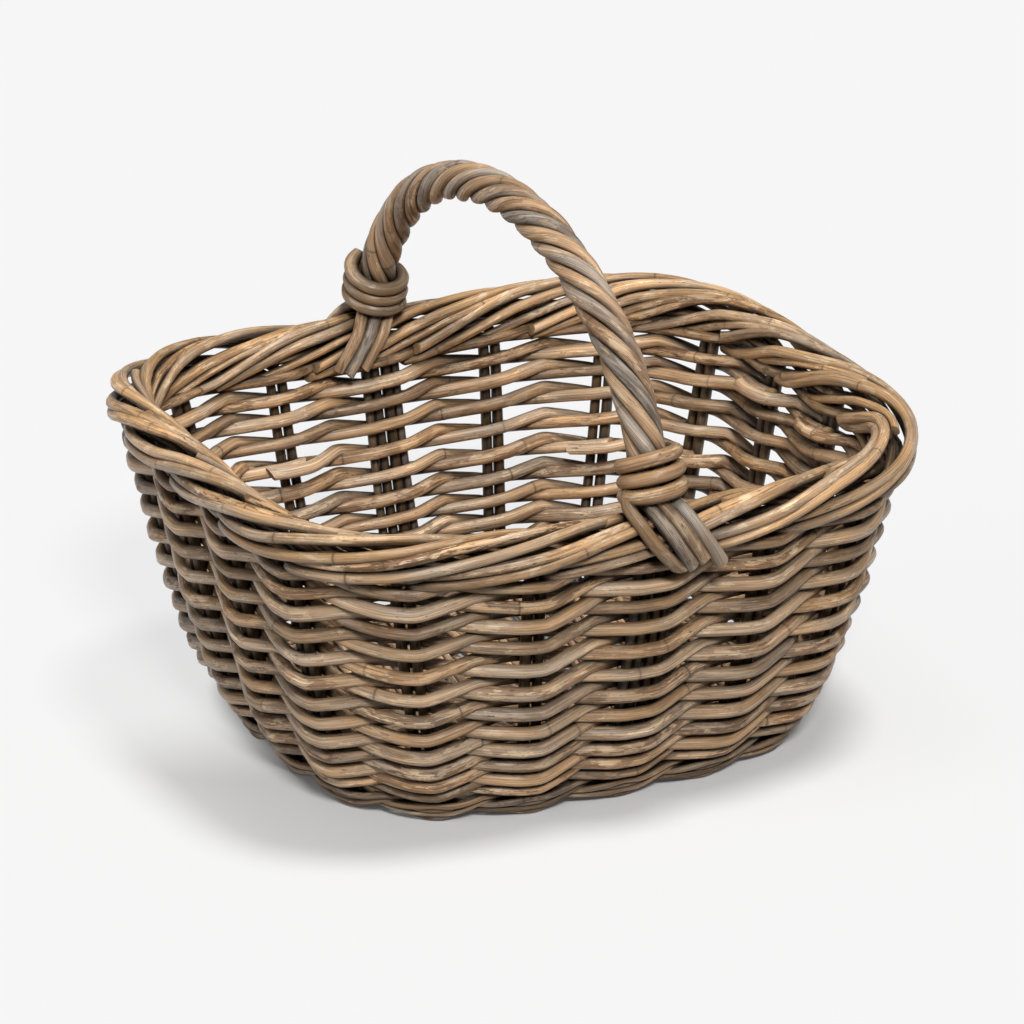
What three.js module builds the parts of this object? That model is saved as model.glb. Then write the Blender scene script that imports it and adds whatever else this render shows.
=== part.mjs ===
// Rattan shopping basket: a flared tub of paired weaving on doubled uprights, whose upper ends lie
// over as a rolled border, with a roped hoop handle bound on over the middle of the long sides.
// Millimetres, Z up. The origin is on the floor under the middle, X runs along the length,
// the front is at -Y, and the hoop spans the width in the plane X = 0.
import * as THREE from 'three';

// Tub
const RIM_LENGTH = 430; // middle of the border, along X
const RIM_WIDTH = 386; // middle of the border, along Y
const RIM_SQUARENESS = 3.8; // exponent of the plan: 2 is an ellipse, more is squarer
const FOOT_SQUARENESS = 3.2; // the same at the floor, where the corners are rounder
const WALL_HEIGHT = 190; // floor to the middle of the border, at the handle
const SIDE_FLARE = 50; // how far the rim stands out beyond the foot at the long sides
const END_FLARE = 58; // and at the short ends
const WALL_BELLY = 17.5; // lower control of the profile: inside the rim, a third of the way up
const WALL_WAIST = 11.5; // upper control: inside the rim, so that the border overhangs the wall
const WAIST_HEIGHT = 140; // floor to the upper control
const END_RISE = 8; // how much higher the border is at the two short ends
const CLEARANCE = 0.4; // between canes that touch

// Uprights and border
const STAKE_COUNT = 18; // pairs, an even number
const STAKE_CANE = 7;
const STAKE_SEAT = 2.5; // lower end of an upright above the floor
const BORDER_BEND = 9; // radius of the turn from upright to border
const BORDER_ENTRY = -75; // degrees round the border where an upright joins it, 0 is outermost
const BORDER_TURN = 80; // degrees that a border pair climbs round the roll from stake to stake
const BORDER_SPAN = 3.6; // stakes that a border pair runs past

// Weaving
const WEAVER_CANE = 7.4;
const FOOT_CANE = 4.5;
const FOOT_STACK = 2; // thin canes on top of each other in a band of the foot
const FOOT_FLAT = 0.5; // depth worn flat where the foot stands
const PASS_WIDTH = 18; // stretch of a weaver that runs straight past an upright
const CUT_GAP = 1.2; // between the two cut ends of a weaver
const JOIN_STEP = 4; // uprights, an even number, that the cut ends move on by from round to round

// Base
const HOOP_CANE = 7;
const BASE_CANE = 5;
const BASE_LIFT = 0.8; // floor to the underside of the base
const BASE_STICKS = 4;
const BASE_PITCH = 10.5; // between neighbouring passes of the base weaver
const BASE_TURN_ROOM = 24; // from the last stick to the hoop at the last pass
const BASE_LAPS = [90, 30, -30, -90]; // degrees up the outside of the hoop where the weaver bends round it

// Handle
const HANDLE_RISE = 151; // middle of the border to the middle of the crown
const HANDLE_CANE = 7.4;
const HANDLE_RODS = 6;
const HANDLE_TURNS = 4; // turns of the rope lay from foot to foot
const ROPE_LIFT = 2.5; // top of the rods' lap over the border to the start of the rope
const ROD_LAPS = [55, 18]; // degrees up the border where a rod bends over it
const ROD_DROP = 16; // ends of the rods below the middle of the border
const ROD_SLANT = 33; // degrees that the rod ends lean along the border
const BINDING_CANE = 8;
const BINDING_TURNS = 3.2;
const BINDING_SEAT = 4; // from the border up to the lowest turn
const BINDING_GAP = 0.6; // between turns of a binding

// Facets
const PAIR_WAIST = 0.4; // half thickness between the two canes of a pair, as a share of their radius
const UPRIGHT_STEPS = 6;
const BEND_STEPS = 2;
const BORDER_STEPS = 7;
const WEAVER_SIDES = 5;
const HOOP_SIDES = 6;
const HOOP_STEPS = 48;
const ROD_SIDES = 5;
const ROPE_STEPS_PER_TURN = 8;
const CORE_SIDES = 6;
const CORE_STEPS = 20;
const BINDING_SIDES = 6;
const BINDING_STEPS = 12; // in one turn

const CANE_COLOURS = [0x9c7f5d, 0x86705a, 0xa98a63, 0x8b8175, 0x77624c];
const CANE_ROUGHNESS = 0.55;

const TAU = Math.PI * 2;
const X_AXIS = new THREE.Vector3(1, 0, 0);
const Z_AXIS = new THREE.Vector3(0, 0, 1);
const radians = THREE.MathUtils.degToRad;
const wrap = THREE.MathUtils.euclideanModulo;

const basket = new THREE.Group();
basket.name = 'rattan_shopping_basket';

function addPiece(name, geometry) {
  const color = CANE_COLOURS[basket.children.length % CANE_COLOURS.length];
  const material = new THREE.MeshStandardMaterial({ color, roughness: CANE_ROUGHNESS, metalness: 0 });
  const mesh = new THREE.Mesh(geometry, material);
  mesh.name = name;
  basket.add(mesh);
}

// Sections are lists of points, counter-clockwise, across the cane and away from the wall.
function roundSection(cane, sides) {
  const points = [];
  for (let k = 0; k < sides; k += 1) {
    const angle = -Math.PI / 2 + (k / sides) * TAU;
    points.push(new THREE.Vector2(Math.cos(angle), Math.sin(angle)).multiplyScalar(cane / 2));
  }
  return points;
}

function pairSection(cane) {
  const radius = cane / 2;
  const waist = radius * PAIR_WAIST;
  const quarter = [
    [0, -waist],
    [radius, -radius],
    [2 * radius, 0],
    [radius, radius],
  ];
  const half = quarter.map(([x, y]) => new THREE.Vector2(x, y));
  return [...half, ...half.map((point) => point.clone().negate())];
}

// Canes on top of each other, with a flat above and below.
function stackSection(cane, count) {
  const radius = cane / 2;
  const flat = radius / 2;
  const side = [[-count * radius, flat]];
  for (let k = 0; k < count; k += 1) {
    const middle = (2 * k + 1 - count) * radius;
    side.push([middle, radius], [middle + radius, flat]);
  }
  const half = side.map(([x, y]) => new THREE.Vector2(x, -y));
  return [...half, ...half.map((point) => point.clone().negate())];
}

// A closed solid through a list of stations, each a centre and the direction away from the wall.
// A station that also has a lean keeps its section level, pushed over along that lean.
// Where a floor height is given, nothing reaches below it.
function sweep(stations, section, floor = -Infinity, closed = false) {
  const count = section.length;
  const total = stations.length;
  const position = [];
  stations.forEach(({ centre, away, lean }, k) => {
    const before = stations[closed ? wrap(k - 1, total) : Math.max(k - 1, 0)].centre;
    const after = stations[closed ? (k + 1) % total : Math.min(k + 1, total - 1)].centre;
    const arriving = centre.clone().sub(before).normalize();
    const leaving = after.clone().sub(centre).normalize();
    const heading = arriving.add(leaving).normalize();
    const across = lean ?? away.clone().cross(heading).normalize();
    const depth = lean ? away : heading.clone().cross(across);
    section.forEach(({ x, y }) => {
      const corner = centre.clone().addScaledVector(across, x).addScaledVector(depth, y);
      position.push(corner.x, corner.y, Math.max(corner.z, floor));
    });
  });
  const index = [];
  const spans = closed ? total : total - 1;
  for (let k = 0; k < spans; k += 1) {
    for (let side = 0; side < count; side += 1) {
      const next = (side + 1) % count;
      const here = k * count;
      const there = ((k + 1) % total) * count;
      index.push(here + side, here + next, there + next);
      index.push(here + side, there + next, there + side);
    }
  }
  if (!closed) {
    const last = (total - 1) * count;
    THREE.ShapeUtils.triangulateShape(section, []).forEach(([a, b, c]) => {
      index.push(c, b, a);
      index.push(last + a, last + b, last + c);
    });
  }
  const geometry = new THREE.BufferGeometry();
  geometry.setAttribute('position', new THREE.Float32BufferAttribute(position, 3));
  geometry.setIndex(index);
  geometry.computeVertexNormals();
  return geometry;
}

// The plan is a superellipse, met at an angle from the middle.
function planPoint(angle, halfLength, halfWidth, squareness) {
  const x = Math.cos(angle);
  const y = Math.sin(angle);
  const sum = Math.abs(x / halfLength) ** squareness + Math.abs(y / halfWidth) ** squareness;
  return new THREE.Vector2(x, y).multiplyScalar(sum ** (-1 / squareness));
}

class RimCurve extends THREE.Curve {
  getPoint(share, target = new THREE.Vector2()) {
    const angle = share * TAU - Math.PI / 2;
    return target.copy(planPoint(angle, RIM_LENGTH / 2, RIM_WIDTH / 2, RIM_SQUARENESS));
  }
}

// The wall: stakes count round from the front middle, run is the way up the wall from the floor.
const rim = new RimCurve();
rim.arcLengthDivisions = 720;
const profile = new THREE.CubicBezierCurve(
  new THREE.Vector2(-SIDE_FLARE, 0),
  new THREE.Vector2(-WALL_BELLY, WALL_HEIGHT / 3),
  new THREE.Vector2(-WALL_WAIST, WAIST_HEIGHT),
  new THREE.Vector2(0, WALL_HEIGHT),
);
const wallRun = profile.getLength();
const stakeSpacing = rim.getLength() / STAKE_COUNT;

function wallPoint(stake, run) {
  const angle = rim.getUtoTmapping(wrap(stake / STAKE_COUNT, 1)) * TAU - Math.PI / 2;
  const level = profile.getPointAt(THREE.MathUtils.clamp(run / wallRun, 0, 1));
  const halfLength = RIM_LENGTH / 2 + level.x * (END_FLARE / SIDE_FLARE);
  const squareness = THREE.MathUtils.lerp(FOOT_SQUARENESS, RIM_SQUARENESS, level.y / WALL_HEIGHT);
  const plan = planPoint(angle, halfLength, RIM_WIDTH / 2 + level.x, squareness);
  const rise = END_RISE * (plan.x / (RIM_LENGTH / 2)) ** 2 * (level.y / WALL_HEIGHT);
  return new THREE.Vector3(plan.x, plan.y, level.y + rise);
}

function wallFrame(stake, run) {
  const nudge = 0.02;
  const centre = wallPoint(stake, run);
  const along = wallPoint(stake + nudge, run).sub(wallPoint(stake - nudge, run)).normalize();
  const up = wallPoint(stake, run + 1).sub(wallPoint(stake, run - 1)).normalize();
  const out = along.clone().cross(up).normalize();
  return { centre, along, up, out };
}

// Uprights stand on the chord between the two ends of a straight pass of the weavers.
const passHalf = PASS_WIDTH / 2 / stakeSpacing;

function stakeFrame(stake, run) {
  const left = wallFrame(stake - passHalf, run);
  const right = wallFrame(stake + passHalf, run);
  const middle = (key) => left[key].clone().add(right[key]).normalize();
  const centre = left.centre.clone().lerp(right.centre, 0.5);
  return { centre, along: middle('along'), up: middle('up'), out: middle('out') };
}

// A level direction turned up by degrees.
function turned(level, degrees) {
  const angle = radians(degrees);
  return level.clone().multiplyScalar(Math.cos(angle)).addScaledVector(Z_AXIS, Math.sin(angle));
}

// Border: pairs lie round a roll, far enough out for neighbours to clear each other.
const borderRadius = (STAKE_CANE + CLEARANCE) / Math.sin(radians(BORDER_TURN) / 2);
const borderOuter = borderRadius + STAKE_CANE / 2;
const { x: topOut, y: topUp } = profile.getTangentAt(1);
const borderEntry = radians(BORDER_ENTRY) + Math.atan2(topOut, topUp); // as met by the leaning wall
const borderEntryDrop = -borderRadius * Math.sin(borderEntry);
const borderEntryOut = borderRadius * Math.cos(borderEntry);
const stakeTop = wallRun - borderEntryDrop - BORDER_BEND;

function borderStation(stake, turn) {
  const { centre, out } = wallFrame(stake, wallRun);
  const level = new THREE.Vector3(out.x, out.y, 0).normalize();
  centre.addScaledVector(turned(level, turn), borderRadius);
  return { centre, away: turned(level, Math.max(turn, 0)) };
}

function stakeStations(stake) {
  const stations = [];
  for (let k = 0; k <= UPRIGHT_STEPS; k += 1) {
    const run = THREE.MathUtils.lerp(STAKE_SEAT, stakeTop, k / UPRIGHT_STEPS);
    const { centre, out } = stakeFrame(stake, run);
    stations.push({ centre, away: out });
  }
  const { centre: heel, along, up, out } = stakeFrame(stake, stakeTop);
  for (let k = 1; k < BEND_STEPS; k += 1) {
    const angle = (k / BEND_STEPS) * (Math.PI / 2);
    const centre = heel
      .clone()
      .addScaledVector(along, BORDER_BEND * (1 - Math.cos(angle)))
      .addScaledVector(up, BORDER_BEND * Math.sin(angle))
      .addScaledVector(out, borderEntryOut * (k / BEND_STEPS));
    stations.push({ centre, away: out });
  }
  const entry = BORDER_BEND / stakeSpacing;
  for (let k = 0; k <= BORDER_STEPS; k += 1) {
    const past = THREE.MathUtils.lerp(entry, BORDER_SPAN, k / BORDER_STEPS);
    stations.push(borderStation(stake + past, BORDER_ENTRY + BORDER_TURN * (past - entry)));
  }
  return stations;
}

for (let stake = 0; stake < STAKE_COUNT; stake += 1) {
  const name = `stake_pair_${String(stake + 1).padStart(2, '0')}`;
  addPiece(name, sweep(stakeStations(stake), pairSection(STAKE_CANE)));
}

// Weaving is pairing: in each round two weavers go in turn behind one upright and in front of the next.
// A weaver comes out under its partner and goes in over it.
const LANES = 2;

function weaverStations(lane, depth, height, startStake, middleRun) {
  const reach = STAKE_CANE / 2 + depth / 2 + CLEARANCE;
  const lift = (height + CLEARANCE) / 2;
  const cut = CUT_GAP / 2 / stakeSpacing;
  const stations = [];
  const add = (stake, side, rise) => {
    const { centre, up, out } = wallFrame(stake, middleRun);
    const level = new THREE.Vector3(out.x, out.y, 0).normalize();
    centre.addScaledVector(level, (side * reach) / up.z).addScaledVector(up, rise);
    stations.push({ centre, out, up, level });
  };
  add(startStake + cut, -1, 0);
  for (let k = 0; k <= STAKE_COUNT; k += 1) {
    const stake = startStake + k;
    const side = (stake - lane) % LANES === 0 ? -1 : 1;
    if (k > 0) add(stake - passHalf, side, -side * lift);
    if (k < STAKE_COUNT) add(stake + passHalf, side, side * lift);
  }
  add(startStake + STAKE_COUNT - cut, -1, 0);
  return stations;
}

// The foot is one round of two bands of thin cane that stand on the floor.
const bandHeight = FOOT_STACK * FOOT_CANE;
const footMiddle = bandHeight + CLEARANCE / 2 - FOOT_FLAT;
const footTop = 2 * footMiddle + FOOT_FLAT;

for (let lane = 0; lane < LANES; lane += 1) {
  const places = weaverStations(lane, FOOT_CANE, bandHeight, lane + LANES, footMiddle);
  const stations = places.map(({ centre, up, level }) => ({ centre, away: level, lean: up }));
  addPiece(`foot_band_${'ab'[lane]}`, sweep(stations, stackSection(FOOT_CANE, FOOT_STACK), 0));
}

// The wall is filled with rounds of pairing, from the foot to the bends of the uprights.
const pairingBand = LANES * (WEAVER_CANE + CLEARANCE);
const weaveStart = footTop + CLEARANCE;
const roundCount = Math.floor((stakeTop - weaveStart) / pairingBand);
const roundPitch = (stakeTop - weaveStart) / roundCount;

for (let round = 0; round < roundCount; round += 1) {
  const run = weaveStart + (round + 0.5) * roundPitch;
  for (let lane = 0; lane < LANES; lane += 1) {
    const startStake = lane + JOIN_STEP * round;
    const places = weaverStations(lane, WEAVER_CANE, WEAVER_CANE, startStake, run);
    const stations = places.map(({ centre, out }) => ({ centre, away: out }));
    const name = `weaver_${String(round + 1).padStart(2, '0')}_${'ab'[lane]}`;
    addPiece(name, sweep(stations, roundSection(WEAVER_CANE, WEAVER_SIDES)));
  }
}

// Base: a hoop inside the foot, sticks along its length and one cane woven back and forth,
// over and under the sticks and round the hoop.
const stickClear = HOOP_CANE / 2 + BASE_CANE / 2 + CLEARANCE;
const hoopClear = stickClear / Math.cos(radians(BASE_LAPS[1]));
const baseLevel = BASE_LIFT + BASE_CANE / 2 + hoopClear;
const footInside = (STAKE_CANE / 2 + FOOT_CANE + 2 * CLEARANCE) / wallFrame(0, footMiddle).up.z;
const baseInset = footInside + BASE_CANE / 2 + stickClear;
const hoopHalfLength = wallPoint(STAKE_COUNT / 4, baseLevel - BASE_CANE / 2).x - baseInset;
const hoopHalfWidth = -wallPoint(0, baseLevel - BASE_CANE / 2).y - baseInset;

const hoopStations = [];
for (let k = 0; k < HOOP_STEPS; k += 1) {
  const angle = (k / HOOP_STEPS) * TAU;
  const plan = planPoint(angle, hoopHalfLength, hoopHalfWidth, FOOT_SQUARENESS);
  const away = new THREE.Vector3(Math.cos(angle), Math.sin(angle), 0);
  hoopStations.push({ centre: new THREE.Vector3(plan.x, plan.y, baseLevel), away });
}
addPiece('base_hoop', sweep(hoopStations, roundSection(HOOP_CANE, HOOP_SIDES), -Infinity, true));

// How far the hoop reaches one way at a distance the other way.
function hoopReach(distance, half, otherHalf) {
  const share = Math.min(Math.abs(distance) / half, 1);
  return otherHalf * (1 - share ** FOOT_SQUARENESS) ** (1 / FOOT_SQUARENESS);
}

const stickSpacing = (2 * hoopHalfWidth) / (BASE_STICKS + 1);
const stickRows = [];
for (let k = 1; k <= BASE_STICKS; k += 1) {
  const row = k * stickSpacing - hoopHalfWidth;
  const outerEdge = Math.abs(row) + HOOP_CANE / 2;
  const half = hoopReach(outerEdge, hoopHalfWidth, hoopHalfLength) - HOOP_CANE / 2 - 2 * CLEARANCE;
  const ends = [new THREE.Vector3(-half, row, baseLevel), new THREE.Vector3(half, row, baseLevel)];
  const stations = ends.map((centre) => ({ centre, away: Z_AXIS }));
  addPiece(`base_stick_${k}`, sweep(stations, roundSection(HOOP_CANE, HOOP_SIDES)));
  stickRows.push(row);
}

// Passes run across the sticks as far along as the hoop still turns well clear of the last stick.
const passLimit = hoopReach(stickRows.at(-1) + BASE_TURN_ROOM, hoopHalfWidth, hoopHalfLength);
const passCount = 2 * Math.floor(passLimit / BASE_PITCH);
const baseStations = [];

function hoopSlope(distance, half) {
  return (Math.sign(distance) * Math.abs(distance / half) ** (FOOT_SQUARENESS - 1)) / half;
}

function addHoopLap(x, heading, degrees) {
  const row = heading * hoopReach(x, hoopHalfLength, hoopHalfWidth);
  const out = new THREE.Vector3(hoopSlope(x, hoopHalfLength), hoopSlope(row, hoopHalfWidth), 0);
  const centre = new THREE.Vector3(x, row, baseLevel);
  centre.addScaledVector(turned(out.normalize(), degrees), hoopClear);
  baseStations.push({ centre, away: Z_AXIS });
}

for (let pass = 0; pass < passCount; pass += 1) {
  const x = (pass - (passCount - 1) / 2) * BASE_PITCH;
  const heading = pass % 2 === 0 ? 1 : -1;
  if (pass === 0) addHoopLap(x, -heading, BASE_LAPS.at(-1));
  stickRows.forEach((row, k) => {
    const side = k % 2 === 0 ? 1 : -1;
    const centre = new THREE.Vector3(x, heading * row, baseLevel + side * stickClear);
    baseStations.push({ centre, away: Z_AXIS });
  });
  const laps = pass + 1 < passCount ? BASE_LAPS : BASE_LAPS.slice(0, 1);
  laps.forEach((degrees, k) => {
    addHoopLap(x + (k / (BASE_LAPS.length - 1)) * BASE_PITCH, heading, degrees);
  });
}
addPiece('base_weaver', sweep(baseStations, roundSection(BASE_CANE, WEAVER_SIDES)));

// Handle: rods laid as a rope round a core along half an ellipse that stands on the border.
class ArchCurve extends THREE.Curve {
  getPoint(share, target = new THREE.Vector3()) {
    const angle = share * Math.PI;
    return target.set(0, -Math.cos(angle) * (RIM_WIDTH / 2), WALL_HEIGHT + Math.sin(angle) * HANDLE_RISE);
  }
}

const arch = new ArchCurve();
const archRun = arch.getLength();
const ropeSteps = Math.round(HANDLE_TURNS * ROPE_STEPS_PER_TURN);
const layStep = (HANDLE_TURNS * TAU) / ropeSteps;
const ropeInner = (HANDLE_CANE + CLEARANCE) / (2 * Math.sin(Math.PI / HANDLE_RODS));
const ropeRadius = ropeInner / Math.cos(layStep / 2);
const ropeStart = borderOuter + HANDLE_CANE / 2 + ROPE_LIFT;
const firstRod = Math.PI / HANDLE_RODS;

function archStation(run, angle, radius) {
  const centre = arch.getPointAt(run / archRun);
  const { y, z } = arch.getTangentAt(run / archRun);
  const away = new THREE.Vector3(0, -z, y).multiplyScalar(Math.sin(angle));
  away.addScaledVector(X_AXIS, Math.cos(angle));
  return { centre: centre.addScaledVector(away, radius), away };
}

// Below the rope the rods part and lap over the border, three outside and three inside.
const lapBend = radians(ROD_LAPS[0] - ROD_LAPS[1]);
const lapRadius = (borderOuter + HANDLE_CANE / 2 + CLEARANCE) / Math.cos(lapBend / 2);
const slotWidth = (HANDLE_CANE + CLEARANCE) / Math.cos(radians(ROD_SLANT));
const rodLean = Math.tan(radians(ROD_SLANT));

function footStations(foot, angle) {
  const side = Math.sign(Math.sin(angle));
  const slot = Math.round(Math.cos(angle)) * slotWidth;
  const place = (out, height) => {
    const x = slot - foot * rodLean * (ropeStart - height);
    const y = foot * (RIM_WIDTH / 2 + side * out);
    const away = new THREE.Vector3(0, foot * side, 0);
    return { centre: new THREE.Vector3(x, y, WALL_HEIGHT + height), away };
  };
  const outs = ROD_LAPS.map((degrees) => lapRadius * Math.cos(radians(degrees)));
  const heights = ROD_LAPS.map((degrees) => lapRadius * Math.sin(radians(degrees)));
  return [place(outs[0], heights[0]), place(outs[1], heights[1]), place(outs[1], -ROD_DROP)];
}

for (let rod = 0; rod < HANDLE_RODS; rod += 1) {
  const startAngle = firstRod + (rod / HANDLE_RODS) * TAU;
  const endAngle = startAngle + HANDLE_TURNS * TAU;
  const stations = footStations(-1, startAngle).reverse();
  for (let k = 0; k <= ropeSteps; k += 1) {
    const run = THREE.MathUtils.lerp(ropeStart, archRun - ropeStart, k / ropeSteps);
    stations.push(archStation(run, startAngle + k * layStep, ropeRadius));
  }
  stations.push(...footStations(1, endAngle));
  addPiece(`handle_rod_${rod + 1}`, sweep(stations, roundSection(HANDLE_CANE, ROD_SIDES)));
}

const coreCane = 2 * (ropeInner - HANDLE_CANE / 2 - CLEARANCE);
const coreStart = borderOuter + CLEARANCE;
const coreStations = [];
for (let k = 0; k <= CORE_STEPS; k += 1) {
  const run = THREE.MathUtils.lerp(coreStart, archRun - coreStart, k / CORE_STEPS);
  coreStations.push(archStation(run, 0, 0));
}
addPiece('handle_core', sweep(coreStations, roundSection(coreCane, CORE_SIDES)));

// A binding of one cane round the rods at each foot of the rope.
const rodFlat = (HANDLE_CANE / 2) * Math.cos(Math.PI / ROD_SIDES); // the rods turn a facet outwards
const bindingInner = ropeRadius + rodFlat + BINDING_CANE / 2 + 2 * CLEARANCE;
const bindingRadius = bindingInner / Math.cos(Math.PI / BINDING_STEPS);
const archFootBend = HANDLE_RISE ** 2 / (RIM_WIDTH / 2); // radius of the arch at its feet
const bindingPitch = (BINDING_CANE + BINDING_GAP) / (1 - bindingRadius / archFootBend);
const bindingStart = borderOuter + BINDING_SEAT + BINDING_CANE / 2;

// Least distance between the surfaces of two turns of a winding.
function leastGap(stations, cane, stepsInTurn) {
  let least = Infinity;
  stations.forEach(({ centre }, k) => {
    stations.slice(k + Math.floor(stepsInTurn / 2)).forEach((other) => {
      least = Math.min(least, centre.distanceTo(other.centre) - cane);
    });
  });
  return least;
}

// It starts on the side that the rods lean away from.
[-1, 1].forEach((foot) => {
  const startAngle = foot < 0 ? Math.PI : 0;
  const stations = [];
  for (let k = 0; k <= Math.round(BINDING_TURNS * BINDING_STEPS); k += 1) {
    const turn = k / BINDING_STEPS;
    const run = bindingStart + turn * bindingPitch;
    const angle = startAngle - turn * TAU;
    stations.push(archStation(foot < 0 ? run : archRun - run, angle, bindingRadius));
  }
  const name = foot < 0 ? 'binding_front' : 'binding_back';
  const gap = leastGap(stations, BINDING_CANE, BINDING_STEPS);
  console.log(`${name}: least gap between turns ${gap.toFixed(2)} mm`);
  addPiece(name, sweep(stations, roundSection(BINDING_CANE, BINDING_SIDES)));
});

export default basket;
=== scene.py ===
"""Looks of a rattan shopping basket: every cane is a round, grained rod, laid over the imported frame.

Metres, Z up, front at -Y, as in the frame.
"""

import math

import bpy
import numpy as np
from mathutils import Matrix, Vector, kdtree


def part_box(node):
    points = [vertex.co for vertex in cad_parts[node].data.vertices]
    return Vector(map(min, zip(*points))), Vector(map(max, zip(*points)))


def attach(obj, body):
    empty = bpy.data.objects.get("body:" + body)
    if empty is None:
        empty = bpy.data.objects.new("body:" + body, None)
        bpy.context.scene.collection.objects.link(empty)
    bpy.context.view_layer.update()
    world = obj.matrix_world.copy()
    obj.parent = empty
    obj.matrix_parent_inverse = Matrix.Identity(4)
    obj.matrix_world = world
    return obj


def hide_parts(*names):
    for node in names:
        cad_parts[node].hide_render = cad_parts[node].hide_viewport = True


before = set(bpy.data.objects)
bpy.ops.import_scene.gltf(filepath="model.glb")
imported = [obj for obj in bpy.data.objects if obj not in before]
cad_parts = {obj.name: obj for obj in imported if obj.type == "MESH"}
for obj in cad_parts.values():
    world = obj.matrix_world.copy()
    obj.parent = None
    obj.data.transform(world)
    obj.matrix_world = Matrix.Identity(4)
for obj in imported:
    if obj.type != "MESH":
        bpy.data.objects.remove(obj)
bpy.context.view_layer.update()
rng = np.random.default_rng(20)

# Sizes of the basket
RIM_LENGTH = 0.430
RIM_WIDTH = 0.386
RIM_SQUARENESS = 3.8
FOOT_SQUARENESS = 3.2
WALL_HEIGHT = 0.190
SIDE_FLARE = 0.050
END_FLARE = 0.058
WALL_BELLY = 0.0175
WALL_WAIST = 0.0115
WAIST_HEIGHT = 0.140
END_RISE = 0.008
CLEARANCE = 0.0004

STAKES = 18
STAKE_CANE = 0.007
STAKE_SEAT = 0.0025
STAKE_SPREAD = 0.0040
BORDER_BEND = 0.009
BORDER_ENTRY = -75
BORDER_TURN = 80
BORDER_SPAN = 3.72
# Painted shade on the upright part of each stake, and the share of its length over which the shade fades out
# past the bend
STAKE_PAINTED_SHADE = 0.34
PAINTED_SHADE_FADE = 0.10
BORDER_STEP = 0.06
BORDER_HALF = 0.22
BORDER_QUICK = 0.25
BORDER_HANG = 0.0090
HANG_START = 2.75
HANG_SPAN = 0.9
HANG_POWER = 1.3
BORDER_ENDS = (-0.10, 0.12)
BORDER_WOBBLE = 6
BORDER_WAVE = 3
BORDER_SLIP = 0.16
BORDER_LOOSE = (-0.0008, 0.0014)
BORDER_EASE = 0.0035
CANE_EASE = 0.004

WEAVER_CANE = 0.0074
FOOT_CANE = 0.0045
FOOT_STACK = 2
FOOT_FLAT = 0.0005
PASS_WIDTH = 0.018
JOIN_STEP = 4
LANES = 2

HOOP_CANE = 0.007
BASE_CANE = 0.005
BASE_LIFT = 0.0008
BASE_STICKS = 4
BASE_PITCH = 0.0105
BASE_TURN_ROOM = 0.024
BASE_LAPS = [90, 30, -30, -90]

HANDLE_RISE = 0.151
HANDLE_CANE = 0.0074
HANDLE_SKEW = 0.006
HANDLE_RODS = 6
HANDLE_TURNS = 4
ROPE_LIFT = 0.0025
ROD_LAPS = [55, 18]
ROD_DROP = 0.016
ROD_SLANT = 33
BINDING_CANE = 0.0092
BINDING_TURNS = 2.9
BINDING_SEAT = 0.0023
BINDING_PITCH = 0.0095
BINDING_HIDDEN = 250

TAU = 2 * math.pi
Z_AXIS = np.array([0.0, 0.0, 1.0])
X_AXIS = np.array([1.0, 0.0, 0.0])

# Mesh of a cane
SIDES = 12
STEP = 0.0026
RISE_POINTS = 60
ROLL_POINTS = 140
PLAN_POINTS = 361
ROPE_POINTS = 260


def unit(vectors):
    return vectors / np.linalg.norm(vectors, axis=-1, keepdims=True)


def runs_along(points):
    """Distance along a path at each of its points."""
    return np.concatenate([[0], np.cumsum(np.linalg.norm(np.diff(points, axis=0), axis=1))])


def follow(places, runs, points):
    """Points of a path at those distances along it."""
    return np.stack([np.interp(places, runs, points[:, k]) for k in range(3)], axis=-1)


def plan_point(angle, half_length, half_width, squareness):
    direction = np.stack([np.cos(angle), np.sin(angle)], axis=-1)
    shares = np.abs(direction[..., 0] / half_length) ** squareness
    shares = shares + np.abs(direction[..., 1] / half_width) ** squareness
    return direction * (shares ** (-1 / squareness))[..., None]


RIM_ANGLES = np.linspace(-math.pi / 2, 1.5 * math.pi, 4001)
RIM_POINTS = plan_point(RIM_ANGLES, RIM_LENGTH / 2, RIM_WIDTH / 2, RIM_SQUARENESS)
RIM_RUNS = runs_along(RIM_POINTS)
STAKE_SPACING = RIM_RUNS[-1] / STAKES

PROFILE_SHARES = np.linspace(0, 1, 801)
PROFILE_WEIGHTS = [
    (1 - PROFILE_SHARES) ** 3,
    3 * (1 - PROFILE_SHARES) ** 2 * PROFILE_SHARES,
    3 * (1 - PROFILE_SHARES) * PROFILE_SHARES**2,
    PROFILE_SHARES**3,
]
PROFILE_X = -SIDE_FLARE * PROFILE_WEIGHTS[0]
PROFILE_X = PROFILE_X - WALL_BELLY * PROFILE_WEIGHTS[1] - WALL_WAIST * PROFILE_WEIGHTS[2]
PROFILE_Y = WALL_HEIGHT * (PROFILE_WEIGHTS[1] / 3 + PROFILE_WEIGHTS[3]) + WAIST_HEIGHT * PROFILE_WEIGHTS[2]
PROFILE_RUNS = np.concatenate([[0], np.cumsum(np.hypot(np.diff(PROFILE_X), np.diff(PROFILE_Y)))])
WALL_RUN = PROFILE_RUNS[-1]


# Unevenness of hand work: uprights aside in spacings, rounds up and down, wall in and out
STAKE_DRIFT = 0.035
ROUND_DRIFTS = (0.0011, 0.0007)
WALL_BULGES = (0.0016, 0.0008)


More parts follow.
